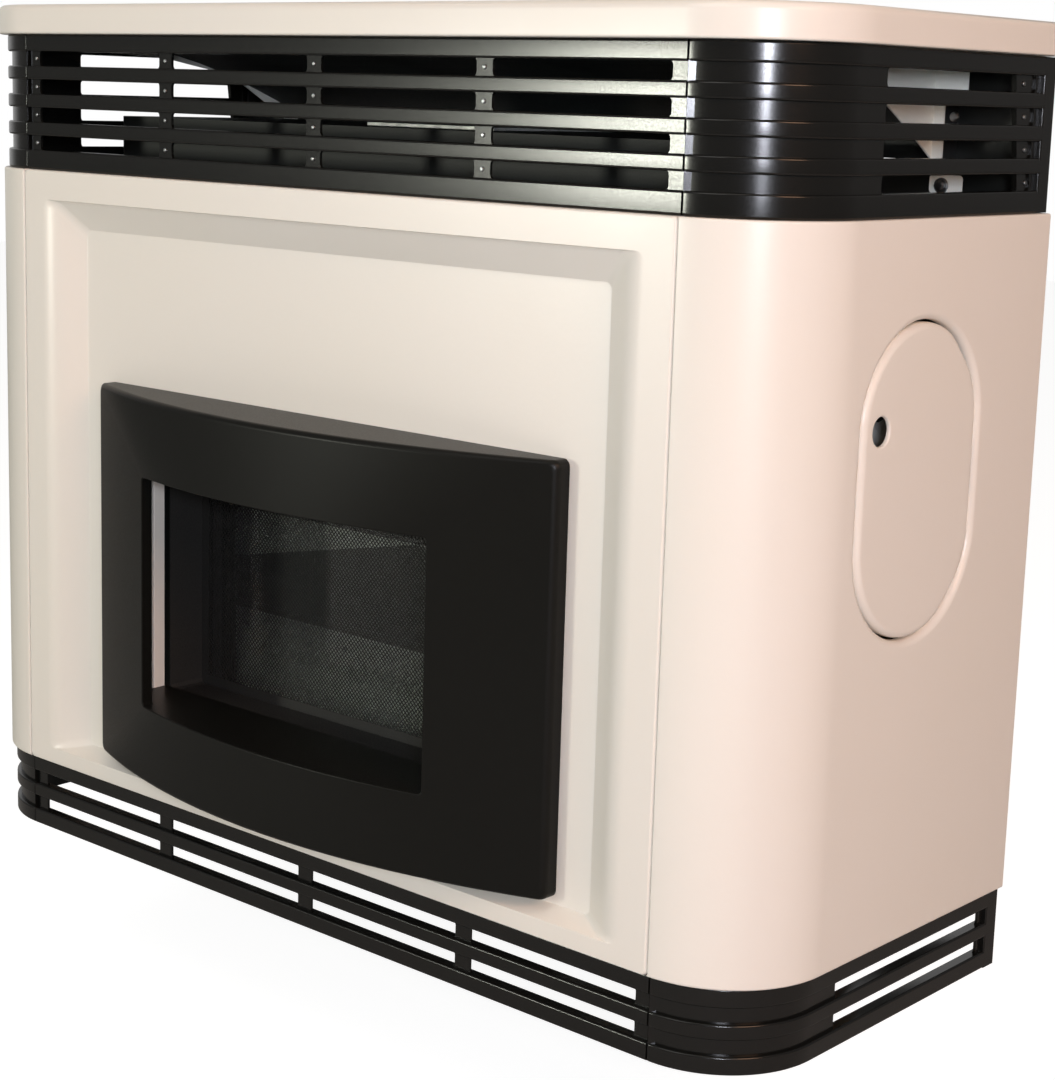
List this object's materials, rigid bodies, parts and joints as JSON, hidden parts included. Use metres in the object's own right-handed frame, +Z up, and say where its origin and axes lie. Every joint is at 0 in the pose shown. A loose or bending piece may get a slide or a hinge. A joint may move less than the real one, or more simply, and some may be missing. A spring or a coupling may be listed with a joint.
{
  "type": "wall mounted gas heater",
  "caption": "Wall hung gas room heater: cream enamelled case with rounded corners, black slatted grilles, a bowed window frame and a flush control door.",
  "frame": {"origin": "middle of the hanging rail, on its wall face", "axes": "+X to the viewer's right across the wall, +Y into the wall, +Z up"},
  "size_m": [0.762, 0.335, 0.6232],
  "materials": {
    "cream_enamel": "glossy cream stove enamel",
    "grille_black": "satin black-brown powder coat",
    "bezel_black": "satin charcoal powder coat",
    "heat_black": "matt heat-resistant black",
    "enamel_grey": "grey-green vitreous enamel on sheet steel",
    "galvanised": "galvanised sheet",
    "cast_alloy": "die-cast, as cast",
    "brass": "turned",
    "copper": "drawn copper tube",
    "steel": "zinc plated",
    "rope": "braided glass-fibre rope",
    "ceramic": "glazed insulator",
    "knob_black": "fine matt",
    "button_red": "fine matt",
    "cable_black": "silicone sleeve",
    "glass": "clear heat-resistant glass"
  },
  "bodies": {
    "case": {"top_lid": "cream_enamel", "front_panel": "cream_enamel", "side_cover_right": "cream_enamel", "side_cover_left": "cream_enamel", "door_hinge_pin": "steel", "door_hinge_bracket": "steel", "door_catch": "steel", "upper_grille_front": "grille_black", "lower_grille_front": "grille_black", "upper_grille_right": "grille_black", "upper_grille_left": "grille_black", "lower_grille_right": "grille_black", "lower_grille_left": "grille_black", "window_bezel": "bezel_black", "glass_gasket": "rope", "window_glass": "glass", "glass_clamp_frame": "heat_black", "mesh_screen": "heat_black", "window_duct": "heat_black", "heat_exchanger": "enamel_grey", "burner_guard": "enamel_grey", "burner_tube": "enamel_grey", "injector_holder": "brass", "flue_baffle": "enamel_grey", "flue_spigot": "heat_black", "air_duct": "galvanised", "air_channel": "galvanised", "hanging_rail": "galvanised", "lower_rail": "galvanised", "upright_right": "galvanised", "upright_left": "galvanised", "heat_shield": "galvanised", "exchanger_foot_left": "galvanised", "exchanger_foot_right": "galvanised", "exchanger_hanger": "galvanised", "air_deflector": "galvanised", "deflector_end_right": "galvanised", "deflector_end_left": "galvanised", "control_bracket": "galvanised", "gas_valve": "cast_alloy", "piezo_body": "knob_black", "piezo_nut": "steel", "ignition_lead": "cable_black", "spark_electrode": "ceramic", "pilot_bracket": "steel", "pilot_burner": "brass", "pilot_pipe": "copper", "thermocouple": "copper", "burner_pipe": "copper", "inlet_pipe": "copper", "inlet_union": "brass", "thermostat_bulb": "copper", "bulb_clip": "steel", "thermostat_capillary": "copper"},
    "door": {"control_door": "cream_enamel"},
    "spindle": {"valve_spindle": "brass"},
    "knob": {"control_knob": "knob_black"},
    "igniter_button": {"piezo_button": "button_red"}
  },
  "joints": [
    {"name": "door_swing", "type": "hinge", "parent": "case", "child": "door", "pos_m": [0.373, -0.093, -0.2125], "axis": [0, 0, 1], "range_deg": [0, 95]},
    {"name": "thermostat_turn", "type": "hinge", "parent": "case", "child": "spindle", "pos_m": [0.345, -0.142, -0.238], "axis": [1, 0, 0], "range_deg": [0, 300]},
    {"name": "pilot_press", "type": "slide", "parent": "spindle", "child": "knob", "axis": [-1, 0, 0], "range_m": [0, 0.005], "stiffness_N_per_m": 1500, "springref_m": -0.002},
    {"name": "igniter_press", "type": "slide", "parent": "case", "child": "igniter_button", "axis": [-1, 0, 0], "range_m": [0, 0.007], "stiffness_N_per_m": 1500, "springref_m": -0.002}
  ]
}
